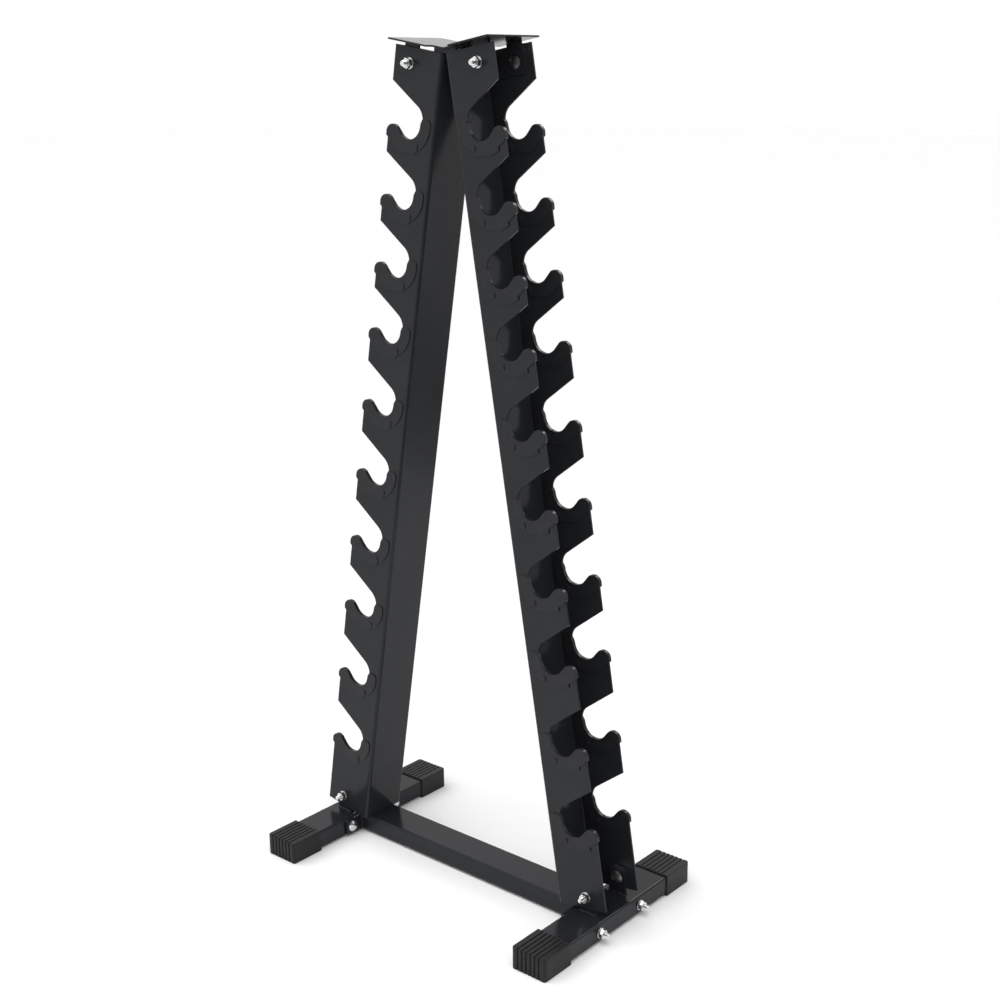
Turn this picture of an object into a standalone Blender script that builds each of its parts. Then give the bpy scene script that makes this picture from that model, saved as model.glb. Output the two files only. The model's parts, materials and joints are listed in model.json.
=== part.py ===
"""A-frame dumbbell rack for ten pairs: two leaning hook channels, bolted to a head bracket and to two
feet that a crossbar joins. Metres, +Z up, origin on the floor under the middle of the rack.

Each upright is drawn in its own frame: +X from the web out to the flange edge, +Z up along the
channel, with its origin at the bottom corner of the web."""

import math

import bmesh
import bpy
from mathutils import Matrix, Vector

# The gap between two solids, and how far a cutter goes past what it cuts.
CLEAR = 0.0003
THROUGH = 0.020

# Uprights: a channel of folded sheet, open to the outside, with ten hooks cut in each flange.
LEAN = math.radians(9.41)
SHEET = 0.003
LENGTH = 1.237
CHANNEL_WIDTH = 0.0822
FLANGE_DEPTH = 0.088
FOLD_RADIUS = 0.005
HEAD_GAP = 0.0022

# Hooks: distances along the channel run down from the corner above each cradle.
FIRST_CORNER_DROP = 0.049
HOOK_PITCHES = [0.100] * 3 + [0.1134] * 4 + [0.124] * 2
NOTCH_DEPTH = 0.064
RAMP_ANGLE = math.radians(61.6)
THROAT_RADIUS = 0.022
CRADLE_DROP = 0.054
CRADLE_RADIUS = 0.024
TIP_DROP = 0.0715
TIP_RADIUS = 0.0095

# Feet, crossbar and sleeve caps.
TUBE_WIDTH = 0.057
TUBE_HEIGHT = 0.030
TUBE_WALL = 0.002
TUBE_CORNER = 0.0035
FOOT_X = 0.259
FOOT_HALF_LENGTH = 0.1807
CAP_LENGTH = 0.0604
CAP_WIDTH = 0.0613
CAP_FLOOR = 0.0027
CAP_HEIGHT = 0.0354
CAP_END_WALL = 0.004
CAP_CORNER = 0.0045
CAP_TOP_ROUND = 0.0008
GROOVES = 6
GROOVE_PITCH = 0.0077
GROOVE_WIDTH = 0.0024
GROOVE_DEPTH = 0.0016
END_PLATE_THICK = 0.004
END_PLATE_LENGTH = 0.128
END_PLATE_HEIGHT = 0.026
END_PLATE_ROUND = 0.003
CROSSBAR_BOLT_Y = 0.050

# Welded ears on the feet and the bracket at the head.
EAR_THICK = 0.003
EAR_WIDTH = 0.031
EAR_MIDDLE_X = 0.2565
EAR_HEIGHT = 0.047
EAR_ROUND = 0.007
HEAD_PLATE_THICK = 0.0025
HEAD_PLATE_RISE = 0.0057
HEAD_PLATE_HALF_DEPTH = 0.055
HEAD_PLATE_OVERHANG = 0.003
RELIEF_HALF_WIDTH = 0.020
RELIEF_Y = 0.041
GUSSET_DROP = 0.039
GUSSET_CHAMFER = 0.008
GUSSET_INNER = 0.006
GUSSET_OUTER = 0.078
TAB_INNER = 0.047
TAB_OUTER = 0.0735
MIDDLE_TAB = 0.018

# M8 carriage bolts, nuts and washers.
BOLT_RADIUS = 0.004
BOLT_SIDES = 16
HOLE_RADIUS = 0.0045
HOLE_SIDES = 16
BOLT_HEAD_RADIUS = 0.010
BOLT_HEAD_HEIGHT = 0.0046
BOLT_HEAD_RIM = 0.0008
NUT_ACROSS_FLATS = 0.013
NUT_HEIGHT = 0.0065
WASHER_RADIUS = 0.008
WASHER_THICK = 0.0016
THREAD_END = 0.0075
THREAD_CHAMFER = 0.001
HEAD_BOLT = (0.058, LENGTH - 0.022)
FOOT_BOLT = (0.055, 0.0185)

FOOT_TOP = CAP_FLOOR + TUBE_HEIGHT
TUBE_MIDDLE_Z = CAP_FLOOR + TUBE_HEIGHT / 2
WEB_FOOT = Vector((HEAD_GAP + LENGTH * math.sin(LEAN), 0.0, FOOT_TOP + CLEAR))
INNER_FACE_Y = CHANNEL_WIDTH / 2 - SHEET
SIDES = {"left": math.pi, "right": 0.0}
ENDS = {"front": -1, "back": 1}
ALONG = {
    "X": Matrix.Rotation(math.pi / 2, 4, "Y"),
    "Y": Matrix.Rotation(-math.pi / 2, 4, "X"),
    "Z": Matrix.Identity(4),
}


def upright_frame(side):
    """The matrix that puts a piece drawn in an upright's frame on that side of the rack."""
    lean = Matrix.Rotation(-LEAN, 4, "Y")
    return Matrix.Rotation(SIDES[side], 4, "Z") @ Matrix.Translation(WEB_FOOT) @ lean


def side_sign(side):
    return 1 if side == "right" else -1


def material(name, colour, roughness, metallic):
    made = bpy.data.materials.new(name)
    made.use_nodes = True
    shader = made.node_tree.nodes["Principled BSDF"]
    shader.inputs["Base Color"].default_value = (*colour, 1.0)
    shader.inputs["Roughness"].default_value = roughness
    shader.inputs["Metallic"].default_value = metallic
    return made


def arc(centre, radius, start, end, steps):
    """Points of an arc from one angle to another, in degrees, both ends included."""
    angles = [math.radians(start + (end - start) * i / steps) for i in range(steps + 1)]
    return [(centre[0] + radius * math.cos(a), centre[1] + radius * math.sin(a)) for a in angles]


def circle(radius, sides):
    """The corners of a regular polygon about the origin, the first of them on +X."""
    return arc((0.0, 0.0), radius, 0, 360 - 360 / sides, sides - 1)


def rounded_rectangle(width, height, radius, steps=4):
    """The outline of a rectangle about the origin, with round corners."""
    x, y = width / 2 - radius, height / 2 - radius
    corners = [(x, y, 0), (-x, y, 90), (-x, -y, 180), (x, -y, 270)]
    return [p for cx, cy, start in corners for p in arc((cx, cy), radius, start, start + 90, steps)]


def slab(name, outlines, thickness, upright=False):
    """A mesh object of flat outlines, thick along Z, or along Y where upright is set. An outline
    inside another one is a hole."""
    curve = bpy.data.curves.new(name, "CURVE")
    curve.dimensions = "2D"
    curve.fill_mode = "BOTH"
    curve.extrude = thickness / 2
    for outline in outlines:
        spline = curve.splines.new("POLY")
        spline.points.add(len(outline) - 1)
        for point, (x, y) in zip(spline.points, outline):
            point.co = (x, y, 0.0, 1.0)
        spline.use_cyclic_u = True
    drawn = bpy.data.objects.new(name + "_outline", curve)
    bpy.context.scene.collection.objects.link(drawn)
    graph = bpy.context.evaluated_depsgraph_get()
    mesh = bpy.data.meshes.new_from_object(drawn.evaluated_get(graph))
    bpy.data.objects.remove(drawn)
    edit = bmesh.new()
    edit.from_mesh(mesh)
    bmesh.ops.remove_doubles(edit, verts=edit.verts, dist=1e-6)
    if upright:
        bmesh.ops.rotate(edit, verts=edit.verts, matrix=Matrix.Rotation(math.pi / 2, 3, "X"))
    bmesh.ops.recalc_face_normals(edit, faces=edit.faces)
    edit.to_mesh(mesh)
    edit.free()
    mesh.name = name
    return bpy.data.objects.new(name, mesh)


def box_mesh(name, low, high):
    edit = bmesh.new()
    size = Vector(high) - Vector(low)
    middle = (Vector(high) + Vector(low)) / 2
    bmesh.ops.create_cube(edit, size=1.0, matrix=Matrix.Translation(middle) @ Matrix.Diagonal((*size, 1.0)))
    mesh = bpy.data.meshes.new(name)
    edit.to_mesh(mesh)
    edit.free()
    return bpy.data.objects.new(name, mesh)


def hole_cutter(length, axis):
    """A cylinder of a bolt hole's radius about the origin, along X, Y or Z."""
    edit = bmesh.new()
    bmesh.ops.create_cone(
        edit,
        cap_ends=True,
        segments=HOLE_SIDES,
        radius1=HOLE_RADIUS,
        radius2=HOLE_RADIUS,
        depth=length,
        matrix=ALONG[axis],
    )
    mesh = bpy.data.meshes.new("hole")
    edit.to_mesh(mesh)
    edit.free()
    return bpy.data.objects.new("hole", mesh)


def turned(name, profile, sides):
    """A solid turned about Y from (radius, y) points, the first and last of them on the axis."""
    edit = bmesh.new()
    points = [edit.verts.new((radius, y, 0.0)) for radius, y in profile]
    edges = [edit.edges.new(pair) for pair in zip(points, points[1:])]
    bmesh.ops.spin(
        edit, geom=points + edges, cent=(0, 0, 0), axis=(0, 1, 0), angle=math.tau, steps=sides, use_merge=True
    )
    bmesh.ops.remove_doubles(edit, verts=edit.verts, dist=1e-6)
    bmesh.ops.recalc_face_normals(edit, faces=edit.faces)
    mesh = bpy.data.meshes.new(name)
    edit.to_mesh(mesh)
    edit.free()
    return bpy.data.objects.new(name, mesh)


def joined_mesh(name, objects):
    """One cutter from several shapes that don't touch."""
    edit = bmesh.new()
    for shape in objects:
        shape.data.transform(shape.matrix_basis)
        edit.from_mesh(shape.data)
        bpy.data.objects.remove(shape)
    mesh = bpy.data.meshes.new(name)
    edit.to_mesh(mesh)
    edit.free()
    return bpy.data.objects.new(name, mesh)


class Rack:
    """The collections that the pieces and the cutters go in, and how a piece joins them."""

    def __init__(self):
        self.pieces = bpy.data.collections.new("dumbbell_rack")
        self.cutters = bpy.data.collections.new("cutters")
        bpy.context.scene.collection.children.link(self.pieces)
        bpy.context.scene.collection.children.link(self.cutters)

    def add(self, piece, paint, place=None):
        self.pieces.objects.link(piece)
        piece.data.materials.clear()
        piece.data.materials.append(paint)
        if place is not None:
            piece.matrix_world = place
        piece.data.shade_smooth()
        piece.data.set_sharp_from_angle(angle=math.radians(35))
        return piece

    def cut(self, piece, cutter, operation="DIFFERENCE"):
        """A Boolean of the piece with the cutter, which sits in the piece's own frame."""
        self.cutters.objects.link(cutter)
        cutter.matrix_world = piece.matrix_world @ cutter.matrix_basis
        cutter.hide_render = True
        cutter.display_type = "WIRE"
        change = piece.modifiers.new(cutter.name, "BOOLEAN")
        change.operation = operation
        change.object = cutter


def corner_heights():
    """Height along the channel of the flange corner above each cradle, from the top down."""
    heights = [LENGTH - FIRST_CORNER_DROP]
    for pitch in HOOK_PITCHES:
        heights.append(heights[-1] - pitch)
    return heights


def notch_outline(corner):
    """The notch below one corner: a ramp, a round throat, the cradle, and the round tip of the hook."""
    edge, neck = FLANGE_DEPTH, FLANGE_DEPTH - NOTCH_DEPTH
    outside = edge + THROUGH
    run = NOTCH_DEPTH / math.tan(RAMP_ANGLE)
    throat_drop = run + THROAT_RADIUS * math.tan(RAMP_ANGLE / 2)
    throat = (neck + THROAT_RADIUS, corner - throat_drop)
    cradle = (neck + CRADLE_RADIUS, corner - CRADLE_DROP)
    tip = (edge - TIP_RADIUS, corner - TIP_DROP)
    apart = math.dist(cradle, tip)
    towards = math.degrees(math.atan2(tip[1] - cradle[1], tip[0] - cradle[0]))
    leaves = towards - math.degrees(math.acos((CRADLE_RADIUS + TIP_RADIUS) / apart))
    points = [(outside, corner), (edge, corner)]
    points += arc(throat, THROAT_RADIUS, 180 - math.degrees(RAMP_ANGLE), 180, 3)
    points += arc(cradle, CRADLE_RADIUS, 180, 360 + leaves, 10)
    points += arc(tip, TIP_RADIUS, 180 + leaves, 0, 6)
    points.append((outside, tip[1]))
    return points


def channel_section():
    """The outline of the folded sheet across the channel: web at X 0, flanges towards +X."""
    half, inner = CHANNEL_WIDTH / 2, FOLD_RADIUS - SHEET
    folds = [(FOLD_RADIUS, half - FOLD_RADIUS), (FOLD_RADIUS, FOLD_RADIUS - half)]
    outside = [(FLANGE_DEPTH, half), *arc(folds[0], FOLD_RADIUS, 90, 180, 4)]
    outside += [*arc(folds[1], FOLD_RADIUS, 180, 270, 4), (FLANGE_DEPTH, -half)]
    inside = [(FLANGE_DEPTH, SHEET - half), *arc(folds[1], inner, 270, 180, 4)]
    inside += [*arc(folds[0], inner, 180, 90, 4), (FLANGE_DEPTH, half - SHEET)]
    return outside + inside


def make_upright(rack, side, paint):
    """A channel with its ten notches and its four bolt holes."""
    channel = slab(side + "_upright", [channel_section()], LENGTH)
    channel.data.transform(Matrix.Translation((0.0, 0.0, LENGTH / 2)))
    rack.add(channel, paint, upright_frame(side))
    across = CHANNEL_WIDTH + THROUGH
    cuts = [slab("notch", [notch_outline(c)], across, upright=True) for c in corner_heights()]
    for x, z in (HEAD_BOLT, FOOT_BOLT):
        hole = hole_cutter(across, "Y")
        hole.matrix_basis = Matrix.Translation((x, 0.0, z))
        cuts.append(hole)
    rack.cut(channel, joined_mesh(side + "_upright_cuts", cuts))


def tube_section(clearance=0.0):
    """The outer outline of a tube, or of a pocket that it fits in with that clearance."""
    size = (TUBE_WIDTH + 2 * clearance, TUBE_HEIGHT + 2 * clearance)
    return rounded_rectangle(*size, TUBE_CORNER + clearance, steps=3)


def tube(name, length):
    """A box tube along Y, with its middle at the origin."""
    inner = rounded_rectangle(
        TUBE_WIDTH - 2 * TUBE_WALL, TUBE_HEIGHT - 2 * TUBE_WALL, TUBE_CORNER - TUBE_WALL, steps=3
    )
    return slab(name, [tube_section(), inner], length, upright=True)


def make_foot(rack, side, paint):
    """The tube under one upright, with the cross holes for the two crossbar bolts."""
    length = 2 * (FOOT_HALF_LENGTH - CAP_END_WALL - CLEAR)
    foot = tube(side + "_foot_tube", length)
    rack.add(foot, paint, Matrix.Translation((side_sign(side) * FOOT_X, 0.0, TUBE_MIDDLE_Z)))
    holes = []
    for y in (-CROSSBAR_BOLT_Y, CROSSBAR_BOLT_Y):
        hole = hole_cutter(2 * TUBE_WIDTH, "X")
        hole.matrix_basis = Matrix.Translation((0.0, y, 0.0))
        holes.append(hole)
    rack.cut(foot, joined_mesh(side + "_foot_tube_holes", holes))


def groove_outline():
    """One groove of a cap, in its Y-Z plane: along the top and down the closed end, which faces -Y."""
    end, inner = -CAP_LENGTH / 2, CAP_LENGTH / 2 + THROUGH
    top, under = CAP_HEIGHT, -THROUGH
    out = end - THROUGH
    deep = (end + GROOVE_DEPTH, top - GROOVE_DEPTH)
    above = top + THROUGH
    return [(out, under), (deep[0], under), deep, (inner, deep[1]), (inner, above), (out, above)]


def make_cap(rack, side, end, paint):
    """A ribbed sleeve that closes one end of a foot tube. It is drawn with its closed end at -Y."""
    half_width, half_length = CAP_WIDTH / 2, CAP_LENGTH / 2
    round_end = [*arc((CAP_CORNER - half_width, CAP_CORNER - half_length), CAP_CORNER, 180, 270, 4)]
    round_end += arc((half_width - CAP_CORNER, CAP_CORNER - half_length), CAP_CORNER, 270, 360, 4)
    outline = [*round_end, (half_width, half_length), (-half_width, half_length)]
    cap = slab(f"{side}_foot_{end}_cap", [outline], CAP_HEIGHT)
    cap.data.transform(Matrix.Translation((0.0, 0.0, CAP_HEIGHT / 2)))
    middle_y = ENDS[end] * (FOOT_HALF_LENGTH - half_length)
    place = Matrix.Translation((side_sign(side) * FOOT_X, middle_y, 0.0))
    if end == "back":
        place = place @ Matrix.Rotation(math.pi, 4, "Z")
    rack.add(cap, paint, place)
    edges = cap.modifiers.new("rounded_edges", "BEVEL")
    edges.width = CAP_TOP_ROUND
    edges.segments = 1
    edges.angle_limit = math.radians(60)
    pocket = slab("pocket", [tube_section(CLEAR)], CAP_LENGTH, upright=True)
    pocket.matrix_basis = Matrix.Translation((0.0, CAP_END_WALL, TUBE_MIDDLE_Z))
    rack.cut(cap, joined_mesh(cap.name + "_pocket", [pocket]))
    grooves = []
    for i in range(GROOVES):
        groove = slab("groove", [groove_outline()], GROOVE_WIDTH)
        stand = Matrix(((0, 0, 1, 0), (1, 0, 0, 0), (0, 1, 0, 0), (0, 0, 0, 1)))
        shift = GROOVE_PITCH * (i - (GROOVES - 1) / 2)
        groove.matrix_basis = Matrix.Translation((shift, 0.0, 0.0)) @ stand
        grooves.append(groove)
    rack.cut(cap, joined_mesh(cap.name + "_grooves", grooves))


def make_crossbar(rack, paint):
    """The tube between the feet, and the plate welded across each end of it."""
    inner_face = FOOT_X - TUBE_WIDTH / 2 - CLEAR
    half_length = inner_face - END_PLATE_THICK - CLEAR
    bar = tube("crossbar_tube", 2 * half_length)
    rack.add(bar, paint, Matrix.Translation((0, 0, TUBE_MIDDLE_Z)) @ Matrix.Rotation(math.pi / 2, 4, "Z"))
    for side in SIDES:
        outline = rounded_rectangle(END_PLATE_HEIGHT, END_PLATE_LENGTH, END_PLATE_ROUND, steps=2)
        plate = slab(side + "_crossbar_plate", [outline], END_PLATE_THICK)
        middle_x = side_sign(side) * (inner_face - END_PLATE_THICK / 2)
        turn = Matrix.Rotation(math.pi / 2, 4, "Y")
        rack.add(plate, paint, Matrix.Translation((middle_x, 0.0, TUBE_MIDDLE_Z)) @ turn)
        holes = []
        for y in (-CROSSBAR_BOLT_Y, CROSSBAR_BOLT_Y):
            hole = hole_cutter(THROUGH, "Z")
            hole.matrix_basis = Matrix.Translation((0.0, y, 0.0))
            holes.append(hole)
        rack.cut(plate, joined_mesh(plate.name + "_holes", holes))


def in_world(side, point):
    """A place in an upright's frame, (x, z), as world X and Z."""
    placed = upright_frame(side) @ Vector((point[0], 0.0, point[1]))
    return placed.x, placed.z


def make_foot_ears(rack, side, paint):
    """The two ears that stand on a foot, just inside the flanges of its upright."""
    hole_x, hole_z = in_world(side, FOOT_BOLT)
    middle_x = side_sign(side) * EAR_MIDDLE_X
    low = FOOT_TOP + CLEAR
    for end, sign in ENDS.items():
        half = EAR_WIDTH / 2
        top = arc((half - EAR_ROUND, EAR_HEIGHT - EAR_ROUND), EAR_ROUND, 0, 90, 4)
        top += arc((EAR_ROUND - half, EAR_HEIGHT - EAR_ROUND), EAR_ROUND, 90, 180, 4)
        ear = slab(f"{side}_foot_{end}_ear", [[(-half, 0.0), (half, 0.0), *top]], EAR_THICK, upright=True)
        middle_y = sign * (INNER_FACE_Y - CLEAR - EAR_THICK / 2)
        rack.add(ear, paint, Matrix.Translation((middle_x, middle_y, low)))
        hole = hole_cutter(THROUGH, "Y")
        hole.matrix_basis = Matrix.Translation((hole_x - middle_x, 0.0, hole_z - low))
        rack.cut(ear, joined_mesh(ear.name + "_hole", [hole]))


def middle_point(z):
    """Where a line across the channel at that height meets the middle plane of the rack, as X and Z."""
    across = (WEB_FOOT.x - z * math.sin(LEAN)) / math.cos(LEAN)
    return in_world("right", (-across, z))


def mirrored_outline(half):
    """An outline from its right half, which starts and ends on the middle plane."""
    return half + [(-x, z) for x, z in reversed(half[1:-1])]


def make_head_plate(rack, paint):
    """The shallow V of sheet over both uprights, cut back at the front and back of its fold."""
    under = LENGTH + HEAD_PLATE_RISE
    over = under + HEAD_PLATE_THICK
    tip = FLANGE_DEPTH + HEAD_PLATE_OVERHANG
    half = [middle_point(under), *(in_world("right", (tip, z)) for z in (under, over)), middle_point(over)]
    plate = slab("head_plate", [mirrored_outline(half)], 2 * HEAD_PLATE_HALF_DEPTH, upright=True)
    rack.add(plate, paint)
    reliefs = []
    for sign in ENDS.values():
        span = sorted((sign * RELIEF_Y, sign * (HEAD_PLATE_HALF_DEPTH + THROUGH)))
        low = (-RELIEF_HALF_WIDTH, span[0], WEB_FOOT.z + LENGTH - THROUGH)
        high = (RELIEF_HALF_WIDTH, span[1], WEB_FOOT.z + LENGTH + THROUGH)
        reliefs.append(box_mesh("relief", low, high))
    rack.cut(plate, joined_mesh("head_plate_reliefs", reliefs))


def make_head_gussets(rack, paint):
    """The plates inside the front and back flanges that carry the head plate on three tabs each."""
    flush, tab_top = LENGTH, LENGTH + HEAD_PLATE_RISE - CLEAR
    bridge = LENGTH + 2 * CLEAR
    low = LENGTH - GUSSET_DROP
    drawn = [
        (GUSSET_INNER, bridge),
        (GUSSET_INNER, low),
        (GUSSET_OUTER - GUSSET_CHAMFER, low),
        (GUSSET_OUTER, low + GUSSET_CHAMFER),
        (GUSSET_OUTER, flush),
        (TAB_OUTER, flush),
        (TAB_OUTER, tab_top),
        (TAB_INNER, tab_top),
        (TAB_INNER, flush),
        (MIDDLE_TAB, flush),
        (MIDDLE_TAB, tab_top),
    ]
    half = [middle_point(bridge), *(in_world("right", p) for p in drawn), middle_point(tab_top)]
    for end, sign in ENDS.items():
        gusset = slab(f"head_{end}_gusset", [mirrored_outline(half)], EAR_THICK, upright=True)
        middle_y = sign * (INNER_FACE_Y - CLEAR - EAR_THICK / 2)
        rack.add(gusset, paint, Matrix.Translation((0.0, middle_y, 0.0)))
        holes = []
        for side in SIDES:
            x, z = in_world(side, HEAD_BOLT)
            hole = hole_cutter(THROUGH, "Y")
            hole.matrix_basis = Matrix.Translation((x, 0.0, z))
            holes.append(hole)
        rack.cut(gusset, joined_mesh(gusset.name + "_holes", holes))


def head_dome(steps):
    """The arc of a bolt head's dome, from its rim to its crown."""
    rise = BOLT_HEAD_HEIGHT - BOLT_HEAD_RIM
    radius = (BOLT_HEAD_RADIUS**2 + rise**2) / (2 * rise)
    start = math.degrees(math.acos(BOLT_HEAD_RADIUS / radius))
    return arc((0.0, BOLT_HEAD_HEIGHT - radius), radius, start, 90, steps)


def bolt_profile(length):
    """A carriage bolt turned about Y: the face under its domed head at 0, its thread end at -Y."""
    chamfered = BOLT_RADIUS - THREAD_CHAMFER
    shank = [(0.0, -length), (chamfered, -length), (BOLT_RADIUS, THREAD_CHAMFER - length), (BOLT_RADIUS, 0.0)]
    return [*shank, (BOLT_HEAD_RADIUS, 0.0), *head_dome(3)]


def make_fastener(rack, name, axis_frame, grip_sheets, zinc):
    """A bolt, washer and nut. In axis_frame the head's seat is at the origin and the nut towards -Y."""
    washer_seat = -(grip_sheets + CLEAR)
    nut_seat = washer_seat - WASHER_THICK - CLEAR
    length = -nut_seat + NUT_HEIGHT + THREAD_END
    bolt = turned(name + "_bolt", bolt_profile(length), BOLT_SIDES)
    rack.add(bolt, zinc, axis_frame)
    bore = BOLT_RADIUS + CLEAR
    ring = [circle(WASHER_RADIUS, 20), circle(bore, 12)]
    washer = slab(name + "_washer", ring, WASHER_THICK, upright=True)
    rack.add(washer, zinc, axis_frame @ Matrix.Translation((0, washer_seat - WASHER_THICK / 2, 0)))
    corner_radius = NUT_ACROSS_FLATS / math.sqrt(3)
    hexagon = [circle(corner_radius, 6), circle(bore, 12)]
    nut = slab(name + "_nut", hexagon, NUT_HEIGHT, upright=True)
    rack.add(nut, zinc, axis_frame @ Matrix.Translation((0, nut_seat - NUT_HEIGHT / 2, 0)))


def make_fasteners(rack, zinc):
    """Four bolts at the head, four at the feet and four through the feet into the crossbar."""
    sheets = EAR_THICK + SHEET + CLEAR
    head_seat_y = INNER_FACE_Y - CLEAR - EAR_THICK - CLEAR
    for side in SIDES:
        for end, sign in ENDS.items():
            turn = Matrix.Rotation(math.pi if sign > 0 else 0.0, 4, "Z")
            for part, bolt in (("head", HEAD_BOLT), ("foot", FOOT_BOLT)):
                x, z = in_world(side, bolt)
                frame = Matrix.Translation((x, sign * head_seat_y, z)) @ turn
                make_fastener(rack, f"{side}_{part}_{end}", frame, sheets + CLEAR, zinc)
            seat_x = side_sign(side) * (FOOT_X - TUBE_WIDTH / 2 - 2 * CLEAR - END_PLATE_THICK)
            outward = Matrix.Rotation(side_sign(side) * math.pi / 2, 4, "Z")
            frame = Matrix.Translation((seat_x, sign * CROSSBAR_BOLT_Y, TUBE_MIDDLE_Z)) @ outward
            grip = END_PLATE_THICK + TUBE_WIDTH + 2 * CLEAR
            make_fastener(rack, f"{side}_crossbar_{end}", frame, grip, zinc)


def main():
    for old in list(bpy.data.objects):
        bpy.data.objects.remove(old)
    rack = Rack()
    paint = material("black_powder_coat", (0.012, 0.012, 0.014), 0.35, 0.0)
    rubber = material("black_rubber", (0.020, 0.020, 0.020), 0.6, 0.0)
    zinc = material("zinc_plate", (0.75, 0.76, 0.77), 0.25, 1.0)
    for side in SIDES:
        make_upright(rack, side, paint)
        make_foot(rack, side, paint)
        make_foot_ears(rack, side, paint)
        for end in ENDS:
            make_cap(rack, side, end, rubber)
    make_crossbar(rack, paint)
    make_head_plate(rack, paint)
    make_head_gussets(rack, paint)
    make_fasteners(rack, zinc)


main()
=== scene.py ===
"""The looks of the A-frame dumbbell rack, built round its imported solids: folded channels with fine
edges, a plastic liner on every cradle, ribbed foot caps, weld beads and threaded zinc fasteners.

Each upright has its own frame, as in the solids: +X from the web out to the flange edge, +Z up
along the channel, origin at the bottom corner of the web. Everything is in metres."""

import json
import math

import bmesh
import bpy
from mathutils import Matrix, Vector

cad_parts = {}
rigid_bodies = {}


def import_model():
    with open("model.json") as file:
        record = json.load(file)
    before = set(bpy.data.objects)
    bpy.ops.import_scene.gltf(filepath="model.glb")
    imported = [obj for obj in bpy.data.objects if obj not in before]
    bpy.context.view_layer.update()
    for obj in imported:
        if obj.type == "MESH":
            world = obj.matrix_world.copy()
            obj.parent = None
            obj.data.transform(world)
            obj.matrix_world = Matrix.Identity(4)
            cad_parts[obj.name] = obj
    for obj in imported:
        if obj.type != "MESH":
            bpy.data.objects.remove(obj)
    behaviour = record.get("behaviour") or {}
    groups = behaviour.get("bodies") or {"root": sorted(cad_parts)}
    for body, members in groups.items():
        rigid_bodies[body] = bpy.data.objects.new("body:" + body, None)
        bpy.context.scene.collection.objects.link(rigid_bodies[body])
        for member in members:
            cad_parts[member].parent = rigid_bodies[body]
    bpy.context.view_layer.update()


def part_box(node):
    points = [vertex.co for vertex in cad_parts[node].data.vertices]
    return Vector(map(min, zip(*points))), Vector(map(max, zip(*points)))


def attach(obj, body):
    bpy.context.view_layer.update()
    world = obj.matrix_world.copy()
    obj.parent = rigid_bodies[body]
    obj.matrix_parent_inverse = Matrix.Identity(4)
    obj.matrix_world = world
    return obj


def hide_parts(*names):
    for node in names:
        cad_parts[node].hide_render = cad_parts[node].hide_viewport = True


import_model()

# Each side's turn about Z, and each end's sign along Y.
SIDES = {"left": math.pi, "right": 0.0}
ENDS = {"front": -1, "back": 1}

# The gap between neighbouring solids, how far cutters run past what they cut, and a length longer
# than any wall that a hole goes through.
CLEAR = 0.0003
PAST = 0.010
THROUGH = 0.020

# The roundings of cut sheet, of the thinner parts and tubes, and of the ears.
EDGE_ROUND = 0.0004
FINE_ROUND = 0.0003
EAR_EDGE_ROUND = 0.00018

# Uprights.
LEAN = math.radians(9.41)
SHEET = 0.003
LENGTH = 1.237
CHANNEL_WIDTH = 0.0822
FLANGE_DEPTH = 0.088
FOLD_RADIUS = 0.005
FIRST_CORNER_DROP = 0.049
HOOK_PITCHES = [0.100] * 3 + [0.1134] * 4 + [0.124] * 2
NOTCH_DEPTH = 0.064
RAMP_ANGLE = math.radians(61.6)
THROAT_RADIUS = 0.022
CRADLE_DROP = 0.054
CRADLE_RADIUS = 0.024
TIP_DROP = 0.0715
TIP_RADIUS = 0.0095
NECK = FLANGE_DEPTH - NOTCH_DEPTH
CRADLE_CENTRE = (NECK + CRADLE_RADIUS, -CRADLE_DROP)
TIP_CENTRE = (FLANGE_DEPTH - TIP_RADIUS, -TIP_DROP)

# Where the solids stand, read from the frame.
FOOT_LOW, FOOT_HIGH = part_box("right_foot_tube")
FOOT_X = (FOOT_LOW.x + FOOT_HIGH.x) / 2
TUBE_WIDTH = FOOT_HIGH.x - FOOT_LOW.x
TUBE_HEIGHT = FOOT_HIGH.z - FOOT_LOW.z
TUBE_MIDDLE_Z = (FOOT_HIGH.z + FOOT_LOW.z) / 2
FOOT_TOP = FOOT_HIGH.z
UPRIGHT_LOW, UPRIGHT_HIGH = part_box("right_upright")
WEB_FOOT = Vector((UPRIGHT_HIGH.x - FLANGE_DEPTH * math.cos(LEAN), 0.0, UPRIGHT_LOW.z))
CAP_LOW, CAP_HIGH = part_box("right_foot_front_cap")
INNER_FACE_Y = CHANNEL_WIDTH / 2 - SHEET

# Box tubes.
TUBE_CORNER = 0.0035
TUBE_WALL = 0.002

# Cradle liners: how proud of the cradle, how thick a flap on each face, and its gap to the sheet.
LINER_WALL = 0.0025
LINER_FLAP = 0.0010
LINER_SLOT_GAP = 0.0005
LINER_ROUND = 0.00035
# The liner's outline has Z from the corner above. It starts at the neck and comes off the tip at
# the lip. The flap's points, with X from the flange edge, go from the lip down and back to the big
# arc, then from the arc up to the neck.
LINER_START = [(NECK - 0.0004, -0.0440), (NECK + LINER_WALL - 0.0003, -0.0500)]
LINER_LIP = (FLANGE_DEPTH + LINER_WALL - 0.0004, -0.0768)
FLAP_RADIUS = 0.0405
FLAP_STEPS = [
    (-0.0012, -0.0790),
    (-0.0036, -0.0816),
    (-0.0132, -0.0868),
    (-0.0127, -0.0918),
    (-0.0272, -0.0966),
    (-0.0560, -0.0938),
    (-0.0618, -0.0866),
]
FLAP_NECK = [(-0.0790, -0.0452), (-0.0744, -0.0427)]
# The box that the sheet fills below the cradle: its highest and lowest Z, and its X past the web.
SHEET_TOP = -0.0380
SHEET_BOTTOM = -0.1250
SHEET_INSIDE = -0.030
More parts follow.
